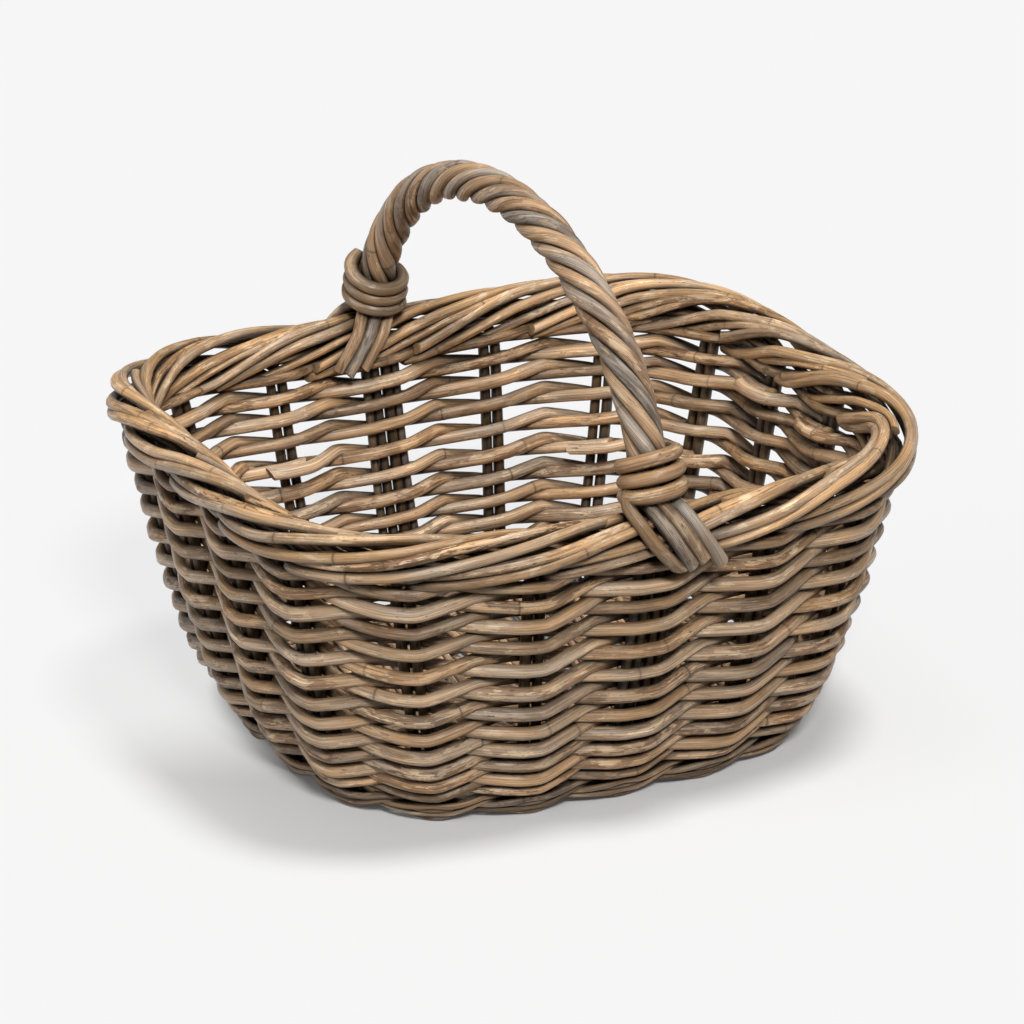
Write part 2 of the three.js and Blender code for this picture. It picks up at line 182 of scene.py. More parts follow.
def wall_point(stake, run):
    """A point of the wall's middle, with the slight unevenness of hand work."""
    stake, run = np.broadcast_arrays(np.asarray(stake, float), np.asarray(run, float))
    round_way = TAU * stake / STAKES
    height = run / WALL_RUN
    stake = stake + STAKE_DRIFT * np.sin(4 * round_way + 2.2 * height) * height
    run = run + ROUND_DRIFTS[0] * np.sin(3 * round_way + 1.1) * height
    run = run + ROUND_DRIFTS[1] * np.sin(7 * round_way + 0.4) * height
    bulge = WALL_BULGES[0] * np.sin(2 * round_way + 0.7 + height) * height
    bulge = bulge + WALL_BULGES[1] * np.sin(5 * round_way) * height
    angle = np.interp((stake / STAKES) % 1, RIM_RUNS / RIM_RUNS[-1], RIM_ANGLES)
    inset = np.interp(run, PROFILE_RUNS, PROFILE_X) + bulge
    level = np.interp(run, PROFILE_RUNS, PROFILE_Y)
    half_length = RIM_LENGTH / 2 + inset * END_FLARE / SIDE_FLARE
    squareness = FOOT_SQUARENESS + (RIM_SQUARENESS - FOOT_SQUARENESS) * level / WALL_HEIGHT
    plan = plan_point(angle, half_length, RIM_WIDTH / 2 + inset, squareness)
    rise = END_RISE * (plan[..., 0] / (RIM_LENGTH / 2)) ** 2 * (level / WALL_HEIGHT)
    return np.concatenate([plan, (level + rise)[..., None]], axis=-1)


# Small steps that give directions: along a run, and round the basket in spacings
NUDGE = 0.001
STAKE_NUDGE = 0.02


def wall_frame(stake, run):
    """Directions along the rounds, up the wall and out of it."""
    run = np.clip(run, NUDGE, WALL_RUN - NUDGE)
    along = unit(wall_point(stake + STAKE_NUDGE, run) - wall_point(stake - STAKE_NUDGE, run))
    up = unit(wall_point(stake, run + NUDGE) - wall_point(stake, run - NUDGE))
    out = unit(np.cross(along, up))
    return along, up, out


def level_out(stake, run):
    along, up, out = wall_frame(stake, run)
    return unit(out * np.array([1, 1, 0])), up


def turned(level, degrees):
    angle = np.radians(np.asarray(degrees, float))[..., None]
    return level * np.cos(angle) + Z_AXIS * np.sin(angle)


PASS_HALF = PASS_WIDTH / 2 / STAKE_SPACING
BORDER_RADIUS = (STAKE_CANE + CLEARANCE) / math.sin(math.radians(BORDER_TURN) / 2)
BORDER_OUTER = BORDER_RADIUS + STAKE_CANE / 2
TOP_LEAN = math.atan2(WALL_WAIST, WALL_HEIGHT - WAIST_HEIGHT)
ENTRY_ANGLE = math.radians(BORDER_ENTRY) + TOP_LEAN
ENTRY_DROP = -BORDER_RADIUS * math.sin(ENTRY_ANGLE)
ENTRY_OUT = BORDER_RADIUS * math.cos(ENTRY_ANGLE)
STAKE_TOP = WALL_RUN - ENTRY_DROP - BORDER_BEND


def resample(path, step=STEP):
    path = np.asarray(path, float)
    runs = runs_along(path)
    count = max(int(round(runs[-1] / step)), 4)
    return follow(np.linspace(0, runs[-1], count + 1), runs, path)


def settle(path, blend, step=STEP):
    """The path at even steps with its corners eased over a length of about twice blend."""
    path = resample(path, step / 2)
    reach = int(math.ceil(3 * blend / (step / 2)))
    reach = min(reach, len(path) - 2)
    weights = np.exp(-0.5 * (np.arange(-reach, reach + 1) * (step / 2) / blend) ** 2)
    weights = weights / weights.sum()
    before = 2 * path[0] - path[reach:0:-1]
    after = 2 * path[-1] - path[-2 : -2 - reach : -1]
    padded = np.concatenate([before, path, after])
    eased = np.stack([np.convolve(padded[:, k], weights, mode="valid") for k in range(3)], axis=1)
    return resample(eased, step)


RING_STEPS = np.array([-0.0045, -0.0022, -0.0011, -0.0005, 0.0, 0.0005, 0.0011, 0.0022, 0.0045])
RING_SWELL = np.array([0.0, 0.035, 0.055, 0.05, 0.0, 0.05, 0.05, 0.025, 0.0])
RING_MARK = np.array([0.0, 0.06, 0.2, 0.65, 1.0, 0.55, 0.15, 0.05, 0.0])
FIRST_RING = (0.02, 0.20)
RING_SPACING = (0.13, 0.30)
RING_MARGIN = 0.01
LEAST_STEP = 0.0002

# Slow changes of a cane's girth, and lobes round its section: share of the radius and length along it
GIRTH_WAVES = ((0.03, 0.11), (0.018, 0.043))
LOBES = ((0.03, 0.09), (0.02, 0.05))
CLOSE_FADE = 0.03
RING_STRENGTHS = (0.5, 1.0)

# Cut end: its edge as a share of the end, and how far edge and middle stand out, in radii
CAP_INNER = 0.8
CAP_BULGE = 0.06
CAP_PEAK = 0.05


def ring_places(length):
    """Distances of the node rings along a cane."""
    places = []
    place = rng.uniform(*FIRST_RING)
    while place < length - RING_MARGIN:
        places.append(place)
        place += rng.uniform(*RING_SPACING)
    return places


def stations_along(runs, places):
    """Distances at which a cane has sections: the points of its path and those of its node rings."""
    stations = np.concatenate([runs] + [place + RING_STEPS for place in places])
    stations = np.unique(np.clip(stations, 0, runs[-1]))
    apart = np.diff(stations) > LEAST_STEP
    stations = stations[np.concatenate([[True], apart])]
    if stations[-1] < runs[-1]:
        stations[-1] = runs[-1]
    return stations


def carried_normals(heading):
    """Directions across a cane that turn as little as they can along it."""
    normal = np.zeros_like(heading)
    first = np.cross(heading[0], Z_AXIS if abs(heading[0][2]) < 0.9 else X_AXIS)
    normal[0] = first / np.linalg.norm(first)
    for k in range(1, len(heading)):
        carried = normal[k - 1] - heading[k] * np.dot(normal[k - 1], heading[k])
        normal[k] = carried / np.linalg.norm(carried)
    return normal


class Canes:
    """Collects canes and makes one object of them."""

    def __init__(self):
        self.points, self.faces, self.ends, self.grain, self.tones = [], [], [], [], []
        self.rods = []
        self.count = 0

    def add(
        self, path, radius, tone, cuts=(18, 18), closed=False, rings=True,
        uneven=1.0, away=None, flat=(1, 1), shade=None,
    ):
        """A cane along path.

        Where away is given, flat scales its section that way and across it; shade darkens it along the path,
        as painted shade.
        """
        path = np.asarray(path, float)
        runs = runs_along(path)
        length = runs[-1]
        places = ring_places(length) if rings else []
        stations = stations_along(runs, places)
        centre = follow(stations, runs, path)
        swell = np.zeros(len(stations))
        mark = np.zeros(len(stations))
        for place in places:
            strength = rng.uniform(*RING_STRENGTHS)
            swell += strength * np.interp(stations - place, RING_STEPS, RING_SWELL)
            mark += strength * np.interp(stations - place, RING_STEPS, RING_MARK)
        heading = unit(np.gradient(centre, stations, axis=0))
        if closed:
            heading[0] = heading[-1] = unit(centre[1] - centre[-2])
        normal = carried_normals(heading)
        if away is not None:
            normal = follow(stations, runs, away)
            normal = unit(normal - heading * np.sum(normal * heading, axis=1, keepdims=True))
        side = np.cross(heading, normal)
        phases = rng.uniform(0, TAU, 6)
        slow = sum(
            share * np.sin(stations / wave + phase) for (share, wave), phase in zip(GIRTH_WAVES, phases[:2])
        )
        girth = radius * (1 + uneven * slow + swell)
        if closed:
            fade = np.minimum(1, np.minimum(stations, length - stations) / CLOSE_FADE)
            girth = radius * (1 + (girth / radius - 1) * fade)
        angles = np.arange(SIDES) / SIDES * TAU
        lobes = sum(
            share * np.cos(count * angles[None] + phase + stations[:, None] / wave)
            for (share, wave), count, phase in zip(LOBES, (2, 3), phases[2:4])
        )
        if closed:
            lobes = lobes * 0
        shape = girth[:, None] * (1 + uneven * lobes)
        ring = centre[:, None] + shape[..., None] * (
            flat[0] * np.cos(angles)[None, :, None] * normal[:, None]
            + flat[1] * np.sin(angles)[None, :, None] * side[:, None]
        )
        for k, tilt in ((0, cuts[0]), (-1, cuts[1])):
            toward = rng.uniform(0, TAU)
            slope = math.tan(math.radians(0 if closed else tilt)) * np.cos(angles - toward) * shape[k]
            ring[k] = ring[k] + slope[:, None] * heading[k]
        offset = rng.uniform(0, 40)
        turn = rng.uniform(0, TAU)
        total = len(stations)
        here = self.count
        grain = np.stack(
            [
                np.broadcast_to(radius * np.cos(angles + turn), (total, SIDES)),
                np.broadcast_to(radius * np.sin(angles + turn), (total, SIDES)),
                np.broadcast_to((stations + offset)[:, None], (total, SIDES)),
            ],
            axis=-1,
        )
        tones = np.zeros((total, SIDES, 4))
        tones[..., 0], tones[..., 1], tones[..., 2] = tone
        tones[..., 3] = np.clip(mark, 0, 1)[:, None]
        # Painted shade along the cane, multiplied into its lightness
        if shade is not None:
            tones[..., 1] *= np.interp(stations, np.linspace(0, length, len(shade)), shade)[:, None]
        self.rods.append((centre, girth, np.gradient(stations), ring, tones))
        self.points.append(ring.reshape(-1, 3))
        self.grain.append(grain.reshape(-1, 3))
        self.tones.append(tones.reshape(-1, 4))
        rows = np.arange(total - 1)[:, None] * SIDES
        cols = np.arange(SIDES)[None]
        following = (cols + 1) % SIDES
        above = rows + SIDES
        quads = np.stack([rows + cols, rows + following, above + following, above + cols], axis=-1)
        self.faces.extend((quads.reshape(-1, 4) + here).tolist())
        self.ends.extend([0] * (quads.size // 4))
        self.count += total * SIDES
        if not closed:
            self.add_caps(ring, heading, grain, radius, tone)

    def add_caps(self, ring, heading, grain, radius, tone):
        """The cut ends of a cane."""
        for k, outward in ((0, -1), (-1, 1)):
            here = self.count
            rim = ring[k]
            middle = rim.mean(axis=0)
            inner = middle + (rim - middle) * CAP_INNER + heading[k] * radius * CAP_BULGE * outward
            peak = middle + heading[k] * radius * CAP_PEAK * outward
            self.points.append(np.concatenate([rim, inner, peak[None]]))
            local = grain[k]
            narrowed = local * [CAP_INNER, CAP_INNER, 1]
            self.grain.append(np.concatenate([local, narrowed, [local.mean(axis=0)]]))
            cap = np.zeros((2 * SIDES + 1, 4))
            cap[:, :3] = tone
            self.tones.append(cap)
            for n in range(SIDES):
                after = (n + 1) % SIDES
                quad = [here + n, here + after, here + SIDES + after, here + SIDES + n]
                fan = [here + SIDES + n, here + SIDES + after, here + 2 * SIDES]
                self.faces.append(quad if k else quad[::-1])
                self.faces.append(fan if k else fan[::-1])
                self.ends += [1, 1]
            self.count += 2 * SIDES + 1

    def make(self, name, slot, material, nodes=()):
        WAITING.append((self, name, slot, material, nodes))

    def place(self, name, slot, material, nodes):
        mesh = bpy.data.meshes.new(name)
        mesh.from_pydata(np.concatenate(self.points).tolist(), [], self.faces)
        grain = mesh.attributes.new("cane", "FLOAT_VECTOR", "POINT")
        grain.data.foreach_set("vector", np.concatenate(self.grain).astype(np.float32).ravel())
        tones = mesh.attributes.new("tone", "FLOAT_COLOR", "POINT")
        tones.data.foreach_set("color", np.concatenate(self.tones).astype(np.float32).ravel())
        mesh.materials.append(material)
        mesh.materials.append(CUT_ENDS)
        mesh.polygons.foreach_set("material_index", np.array(self.ends, dtype=np.int32))
        mesh.polygons.foreach_set("use_smooth", np.ones(len(self.faces), dtype=bool))
        mesh.update()
        piece = bpy.data.objects.new(name, mesh)
        bpy.context.scene.collection.objects.link(piece)
        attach(piece, "root")
        if nodes:
            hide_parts(*nodes)


WAITING = []
# Painted shade in recesses: how far neighbours count, how strongly they darken, the least lightness left and
# its curve
RECESS_SHADE_REACH = 0.020
RECESS_SHADE_GAIN = 0.92
RECESS_SHADE_LEAST = 0.07
RECESS_SHADE_POWER = 1.3


def paint_recess_shade():
    """Darkens the canes where their neighbours shut them in: painted shade in the recesses between canes."""
    rods = [rod for canes, *rest in WAITING for rod in canes.rods]
    centres = np.concatenate([rod[0] for rod in rods])
    girths = np.concatenate([rod[1] for rod in rods])
    lengths = np.concatenate([rod[2] for rod in rods])
    owners = np.concatenate([np.full(len(rod[0]), k) for k, rod in enumerate(rods)])
    tree = kdtree.KDTree(len(centres))
    for k, point in enumerate(centres):
        tree.insert(point, k)
    tree.balance()
    for owner, (middle, girth, length, ring, tones) in enumerate(rods):
        for k, point in enumerate(middle):
            near = np.array([found[1] for found in tree.find_range(point, RECESS_SHADE_REACH)])
            near = near[owners[near] != owner]
            if len(near) == 0:
                continue
            away = unit(ring[k] - point)
            toward = centres[near][None] - ring[k][:, None]
            distance = np.linalg.norm(toward, axis=2)
            facing = np.sum(toward * away[:, None], axis=2) / distance
            share = 2 * girths[near] * lengths[near] / (math.pi * (distance**2 + girths[near] ** 2))
            shut = np.sum(np.clip(facing, 0, 1) * share, axis=1)
            open_share = np.clip(1 - RECESS_SHADE_GAIN * shut, 0, 1) ** RECESS_SHADE_POWER
            tones[k, :, 1] *= RECESS_SHADE_LEAST + (1 - RECESS_SHADE_LEAST) * open_share


class Nodes:
    """Short ways to make the nodes of a material."""

    def __init__(self, name):
        self.material = bpy.data.materials.new(name)
        self.material.use_nodes = True
        self.tree = self.material.node_tree
        self.shader = self.tree.nodes["Principled BSDF"]

    def put(self, socket, value):
        if isinstance(value, bpy.types.NodeSocket):
            self.tree.links.new(value, socket)
        else:
            socket.default_value = value

    def new(self, kind, **settings):
        node = self.tree.nodes.new(kind)
        for key, value in settings.items():
            setattr(node, key, value)
        return node

    def math(self, operation, a, b=0.0, clamp=False):
        node = self.new("ShaderNodeMath", operation=operation, use_clamp=clamp)
        self.put(node.inputs[0], a)
        self.put(node.inputs[1], b)
        return node.outputs[0]

    def spread(self, value, low, high, to_low=0.0, to_high=1.0):
        node = self.new("ShaderNodeMapRange", interpolation_type="SMOOTHSTEP")
        self.put(node.inputs[0], value)
        for k, number in enumerate((low, high, to_low, to_high)):
            node.inputs[k + 1].default_value = number
        return node.outputs[0]

    def mix(self, factor, a, b, blend="MIX"):
        node = self.new("ShaderNodeMix", data_type="RGBA", blend_type=blend)
        self.put(node.inputs[0], factor)
        self.put(node.inputs[6], a)
        self.put(node.inputs[7], b)
        return node.outputs[2]

    def scaled(self, vector, scale):
        node = self.new("ShaderNodeVectorMath", operation="MULTIPLY")
        self.put(node.inputs[0], vector)
        node.inputs[1].default_value = scale
        return node.outputs[0]

    def value_colour(self, value):
        node = self.new("ShaderNodeCombineColor")
        for k in range(3):
            self.put(node.inputs[k], value)
        return node.outputs[0]

    def noise(self, vector, scale, detail=3.0, roughness=0.55):
        node = self.new("ShaderNodeTexNoise")
        self.put(node.inputs["Vector"], vector)
        node.inputs["Scale"].default_value = scale
        node.inputs["Detail"].default_value = detail
        node.inputs["Roughness"].default_value = roughness
        return node.outputs["Fac"]


RIB_COUNT = 30
SPECULAR = 0.4
BUMP_STRENGTH = 0.5
SKIN_DEPTH = 0.0007
PORE_DEPTH = 0.0005


def linear(red, green, blue):
    """A colour as seen on screen, 0 to 255, in the linear values that shaders take."""
    values = []
    for value in (red, green, blue):
        share = value / 255
        values.append(share / 12.92 if share < 0.04045 else ((share + 0.055) / 1.055) ** 2.4)
    return (*values, 1.0)


FLECK_COLOUR = linear(58, 40, 28)
RING_COLOUR = linear(52, 36, 25)
END_COLOUR = linear(196, 164, 120)
PORE_COLOUR = linear(126, 94, 62)
STAIN_COLOUR = linear(112, 88, 64)


def rattan(name, tan, grey, brown, pale, gloss, ribs=0.0):
    """Rattan with its skin on: fine lines, peeled and weathered patches, dark flecks and rings."""
    made = Nodes(name)
    cane = made.new("ShaderNodeAttribute", attribute_name="cane").outputs["Vector"]
    tone = made.new("ShaderNodeAttribute", attribute_name="tone")
    parts = made.new("ShaderNodeSeparateColor")
    made.put(parts.inputs[0], tone.outputs["Color"])
    greyness, light, bark = parts.outputs[0], parts.outputs[1], parts.outputs[2]
    ring = tone.outputs["Alpha"]

    lines = made.noise(made.scaled(cane, (1, 1, 0.015)), 1250, 4, 0.7)
    broad = made.noise(made.scaled(cane, (1, 1, 0.05)), 480, 3, 0.55)
    mottle = made.noise(made.scaled(cane, (1, 1, 0.22)), 150, 3, 0.55)
    slow = made.noise(made.scaled(cane, (0.6, 0.6, 1)), 17, 2, 0.5)
    flecks = made.noise(made.scaled(cane, (1, 1, 0.22)), 620, 4, 0.7)
    peel = made.noise(made.scaled(cane, (1, 1, 0.20)), 230, 6, 0.66)
    bare = made.noise(made.scaled(cane, (1, 1, 0.28)), 190, 6, 0.66)

    shift = made.spread(mottle, 0.30, 0.70, -0.35, 0.35)
    shift = made.math("ADD", shift, made.spread(slow, 0.3, 0.7, -0.3, 0.3))
    colour = made.mix(made.math("ADD", greyness, shift, clamp=True), tan, grey)
    bark_share = made.math("MULTIPLY", made.spread(peel, 0.485, 0.525), bark, clamp=True)
    colour = made.mix(bark_share, colour, brown)
    bare_share = made.spread(bare, 0.565, 0.58)
    bare_share = made.math("MULTIPLY", bare_share, made.spread(slow, 0.38, 0.52, 0.15, 0.85))
    colour = made.mix(bare_share, colour, pale)
    colour = made.mix(1.0, colour, made.value_colour(made.spread(lines, 0.30, 0.70, 0.56, 1.34)), "MULTIPLY")
    colour = made.mix(1.0, colour, made.value_colour(made.spread(broad, 0.25, 0.75, 0.78, 1.14)), "MULTIPLY")
    dark_share = made.spread(flecks, 0.60, 0.66)
    dark_share = made.math("MULTIPLY", dark_share, made.spread(slow, 0.42, 0.62, 0.15, 0.85))
    colour = made.mix(dark_share, colour, FLECK_COLOUR)
    height = made.math("ADD", made.math("MULTIPLY", lines, 0.6), made.math("MULTIPLY", broad, 0.5))
    if ribs:
        sides = made.new("ShaderNodeSeparateXYZ")
        made.put(sides.inputs[0], cane)
        angle = made.math("ARCTAN2", sides.outputs[1], sides.outputs[0])
        wave = made.math("SINE", made.math("MULTIPLY", angle, RIB_COUNT))
        # The ribs' colour follows their relief: painted shade in the grooves and painted light on the crests
        rib_share = made.math("MULTIPLY", made.spread(mottle, 0.35, 0.60), ribs)
        rib_shade_and_light = made.value_colour(made.spread(wave, -1, 1, 0.5, 1.2))
        colour = made.mix(rib_share, colour, made.mix(1.0, colour, rib_shade_and_light, "MULTIPLY"))
        height = made.math("ADD", height, made.math("MULTIPLY", wave, made.math("MULTIPLY", rib_share, 0.22)))
    colour = made.mix(made.math("MULTIPLY", ring, 0.78), colour, RING_COLOUR)
    # The tone's second channel: each cane's lightness, with the painted shade of recesses, stakes and handle
    # rods multiplied in
    colour = made.mix(1.0, colour, made.value_colour(light), "MULTIPLY")
    made.put(made.shader.inputs["Base Color"], colour)

    rough = made.spread(lines, 0.3, 0.7, gloss + 0.10, gloss - 0.06)
    rough = made.math("ADD", rough, made.math("MULTIPLY", bark_share, 0.16), clamp=True)
    made.put(made.shader.inputs["Roughness"], rough)
    made.shader.inputs["Specular IOR Level"].default_value = SPECULAR

    raised = made.math("MULTIPLY", made.spread(peel, 0.46, 0.53), made.math("MULTIPLY", bark, 0.35))
    height = made.math("ADD", height, raised)
    height = made.math("SUBTRACT", height, made.math("MULTIPLY", bare_share, 0.18))
    height = made.math("SUBTRACT", height, made.math("MULTIPLY", dark_share, 0.3))
    bump = made.new("ShaderNodeBump")
    bump.inputs["Strength"].default_value = BUMP_STRENGTH
    bump.inputs["Distance"].default_value = SKIN_DEPTH
    made.put(bump.inputs["Height"], height)
    made.put(made.shader.inputs["Normal"], bump.outputs[0])
    return made.material


def cut_ends():
    made = Nodes("cane_cut_end")
    cane = made.new("ShaderNodeAttribute", attribute_name="cane").outputs["Vector"]
    pores = made.noise(made.scaled(cane, (1, 1, 0.0)), 2600, 3, 0.6)
    stain = made.noise(cane, 240, 3, 0.5)
    colour = made.mix(made.spread(pores, 0.42, 0.62), END_COLOUR, PORE_COLOUR)
    colour = made.mix(made.spread(stain, 0.4, 0.7, 0.0, 0.55), colour, STAIN_COLOUR)
    made.put(made.shader.inputs["Base Color"], colour)
    made.put(made.shader.inputs["Roughness"], made.spread(pores, 0.3, 0.7, 0.75, 0.9))
    bump = made.new("ShaderNodeBump")
    bump.inputs["Strength"].default_value = BUMP_STRENGTH
    bump.inputs["Distance"].default_value = PORE_DEPTH
    made.put(bump.inputs["Height"], pores)
    made.put(made.shader.inputs["Normal"], bump.outputs[0])
    return made.material


CUT_ENDS = cut_ends()
TAN = linear(214, 172, 128)
GREY = linear(197, 173, 147)
BROWN = linear(124, 92, 64)
PALE = linear(236, 206, 168)
WALL_SKIN = rattan("rattan_weavers", TAN, GREY, BROWN, PALE, 0.31)
STAKE_SKIN = rattan("rattan_stakes", linear(216, 172, 124), GREY, BROWN, PALE, 0.31)
FOOT_SKIN = rattan("rattan_foot", linear(196, 157, 116), linear(182, 162, 140), BROWN, PALE, 0.46)
BASE_SKIN = rattan("rattan_base", TAN, GREY, BROWN, PALE, 0.55)
ROPE_TAN = linear(206, 168, 130)
ROPE_GREY = linear(208, 193, 177)
ROPE_SKIN = rattan("rattan_handle", ROPE_TAN, ROPE_GREY, BROWN, PALE, 0.37, ribs=0.85)
BINDING_SKIN = rattan("rattan_binding", linear(206, 164, 122), linear(186, 160, 132), BROWN, PALE, 0.28)


# Mean greyness, share of bark and lightness of the canes
WEAVER_TONE = (0.42, 0.30, 1.06)
TOP_TONE = (0.2, 0.8, 0.85)
FOOT_TONE = (0.30, 0.35, 0.60)
STAKE_TONE = (0.25, 0.25, 1.02)
FILL_TONE = (0.3, 0.35, 0.95)
LINER_TONE = (0.3, 0.3, 0.6)
HOOP_TONE = (0.3, 0.3, 1.0)
BASE_TONE = (0.35, 0.3, 1.0)
ROD_TONES = ((0.85, 0.25, 0.98), (0.1, 0.25, 0.98))
CORE_TONE = (0.2, 0.5, 0.8)
BINDING_TONE = (0.15, 0.1, 0.76)
END_TONE = (0.35, 0.3, 0.85)
EDGE_TONE = (0.3, 0.3, 0.85)
GREY_SPREAD = 0.33
GREY_LIMITS = (-0.2, 1.2)
LIGHT_SPREAD = 0.16
LIGHT_LIMITS = (0.5, 1.2)
BARK_SPREAD = 0.35


def tone_of(grey_mean, bark_mean, light):
    """Greyness, lightness and share of dark skin of one cane."""
    greyness = float(np.clip(rng.normal(grey_mean, GREY_SPREAD), *GREY_LIMITS))
    lightness = float(np.clip(rng.normal(light, LIGHT_SPREAD), *LIGHT_LIMITS))
    bark = float(np.clip(rng.normal(bark_mean, BARK_SPREAD), 0.0, 1.0))
    return greyness, lightness, bark


def zigzag(place):
    """-1 at even places, 1 at odd ones, straight between."""
    return 1 - 2 * np.abs((place % 2) - 1)


CLIP_EASE = 0.03


def softplus(value):
    return CLIP_EASE * np.logaddexp(0, value / CLIP_EASE)


def soft_clip(value):
    """The value held between -1 and 1, with eased corners."""
    return softplus(value + 1) - softplus(value - 1) - 1


WEAVER_EASE = 0.0017
LEG_SLOPE = 1 / (1 - 2 * PASS_HALF)
RISE_PLACES = [0.0, 0.56, 1.02, 1.40, 2.0]
RISE_LEVELS = [-0.75, -1.35, 0.95, 0.20, -0.75]
# Strands rise more steeply round the right end, and uprights of the handle have liners beside them
RIGHT_END = STAKES / 4
RIGHT_STEEP = 0.40
RIGHT_SPAN = 2.0
LINER_WIDTH = 0.24
LINER_PULL = 0.42
WEAVER_LEAD = 0.14
WEAVER_LAP = 0.30
WEAVER_PRESS = 0.985
TUCK_START = 0.62
TUCK_SPAN = 0.5
TUCK_DEPTH = 0.0068
WEAVER_SCALES = (1.04, 1.26)
FIRST_SCALE = 0.88
TOP_JOIN = 7
HANDLE_STAKES = (0, STAKES // 2)


def widened(stake):
    """Round the handle's uprights the straight passes are wider, because liners stand beside them."""
    for place in HANDLE_STAKES:
        away = (stake - place + STAKES / 2) % STAKES - STAKES / 2
        stake = stake - away * LINER_PULL * np.exp(-((away / LINER_WIDTH) ** 2))
    return stake


def weave(lane, stake):
    place = widened(stake) - lane
    swing = soft_clip(LEG_SLOPE * zigzag(place))
    since = (place - 0.5) % 2
    rise = np.interp(since, RISE_PLACES, RISE_LEVELS)
    away = (stake - RIGHT_END + STAKES / 2) % STAKES - STAKES / 2
    return swing, rise * (1 + RIGHT_STEEP * np.exp(-((away / RIGHT_SPAN) ** 2)))


def weaver_path(lane, start, run, radius):
    stake = np.arange(start - WEAVER_LEAD, start + STAKES + WEAVER_LAP, STEP / STAKE_SPACING)
    swing, rise = weave(lane, stake)
    level, up = level_out(stake, run)
    reach = (STAKE_CANE / 2 + radius) * WEAVER_PRESS
    lift = WEAVER_CANE / 2 + CLEARANCE
    past = np.clip((stake - (start + STAKES - TUCK_START)) / TUCK_SPAN, 0, 1)
    tuck = past * past * (3 - 2 * past)
    path = wall_point(stake, run)
    path = path + level * ((swing * reach - tuck * TUCK_DEPTH) / up[:, 2])[:, None]
    path = path + up * (rise * lift * (1 - 0.5 * tuck))[:, None]
    return settle(path, WEAVER_EASE)


FOOT_BAND = FOOT_STACK * FOOT_CANE
FOOT_MIDDLE = FOOT_BAND + CLEARANCE / 2 - FOOT_FLAT
FIRST_RUN = 0.028
SECOND_RUN = 0.038
LAST_RUN = 0.1675
TOP_RUNS = (0.1815, 0.1925)
TOP_SCALES = (1.06, 0.80)
EXTRA_ROUND = 5
ROUND_GAPS = [0.0, 0.80, 0.88, 0.95, 1.0, 1.08, 1.15, 1.15, 1.05, 0.95]
ROUND_SHARES = np.cumsum(ROUND_GAPS) / np.sum(ROUND_GAPS)
ROUND_RUNS = [FIRST_RUN, *(SECOND_RUN + (LAST_RUN - SECOND_RUN) * ROUND_SHARES)]

# Wall: beaten down tightly it holds one round more than the solids, and the first round is of thinner cane
for lane in range(LANES):
    letter = "ab"[lane]
    for level, run in enumerate(ROUND_RUNS):
        canes = Canes()
        radius = WEAVER_CANE / 2 * (rng.uniform(*WEAVER_SCALES) if level else FIRST_SCALE)
        path = weaver_path(lane, lane + JOIN_STEP * level, run, radius)
        canes.add(path, radius, tone_of(*WEAVER_TONE), cuts=(35, 30))
        if level == EXTRA_ROUND:
            canes.make("extra_round_" + letter, "weaver_cane", WALL_SKIN)
            continue
        node = f"weaver_{level + 1 if level < EXTRA_ROUND else level:02d}_{letter}"
        canes.make("cane_" + node, "weaver_cane", WALL_SKIN, [node])

# Top rounds: two pairs that close the wall under the border, the upper one thinner
for lane in range(LANES):
    canes = Canes()
    for run, scale in zip(TOP_RUNS, TOP_SCALES):
        radius = WEAVER_CANE / 2 * scale
        path = weaver_path(lane, lane + TOP_JOIN, run, radius)
        canes.add(path, radius, tone_of(*TOP_TONE), cuts=(35, 30))
    canes.make("top_round_" + "ab"[lane], "weaver_cane", WALL_SKIN)

# Foot: each band is four thin canes, one above the other at the uprights and two by two where bands cross
FOOT_RODS = 4
FOOT_ROD = 0.00205
FOOT_SCALLOP = 0.0042
FOOT_LEAD = 0.12
FOOT_LAP = 0.2
FOOT_EASE = 0.003
FOOT_SCALES = (0.95, 1.04)
STAKE_SCALES = (0.94, 1.04)
for lane in range(LANES):
    canes = Canes()
    start = lane + LANES
    for rod in range(FOOT_RODS):
        stake = np.arange(start - FOOT_LEAD, start + STAKES + FOOT_LAP, STEP / STAKE_SPACING)
        swing, rise = weave(lane, stake)
        level, up = level_out(stake, FOOT_MIDDLE)
        reach = STAKE_CANE / 2 + FOOT_ROD
        crossing = np.abs(np.sin(math.pi * stake)) ** 1.5
        row = rod // 2
        single = (rod - (FOOT_RODS - 1) / 2) * 2 * FOOT_ROD
        doubled = (row - 0.5 + rise) * 2 * FOOT_ROD + FOOT_SCALLOP
        depth = (rod % 2 - 0.5) * 2 * FOOT_ROD * crossing
        path = wall_point(stake, FOOT_MIDDLE)
        path = path + level * ((swing * reach + depth) / up[:, 2])[:, None]
        path = path + up * ((1 - crossing) * single + crossing * doubled)[:, None]
        path = settle(path, FOOT_EASE)
        path[:, 2] = np.maximum(path[:, 2], FOOT_ROD)
        canes.add(path, FOOT_ROD * rng.uniform(*FOOT_SCALES), tone_of(*FOOT_TONE))
    node = "foot_band_" + "ab"[lane]
    canes.make("cane_" + node, "foot_cane", FOOT_SKIN, [node])


def border_turn(past):
    """Degrees round the roll: the canes linger and then step over once in each spacing."""
    whole = np.floor(past - BORDER_STEP)
    share = past - BORDER_STEP - whole
    eased = np.interp(share, [0, BORDER_HALF, 1 - BORDER_HALF, 1], [0, BORDER_QUICK, 1 - BORDER_QUICK, 1])
    return BORDER_ENTRY + BORDER_TURN * (whole + eased + BORDER_STEP)


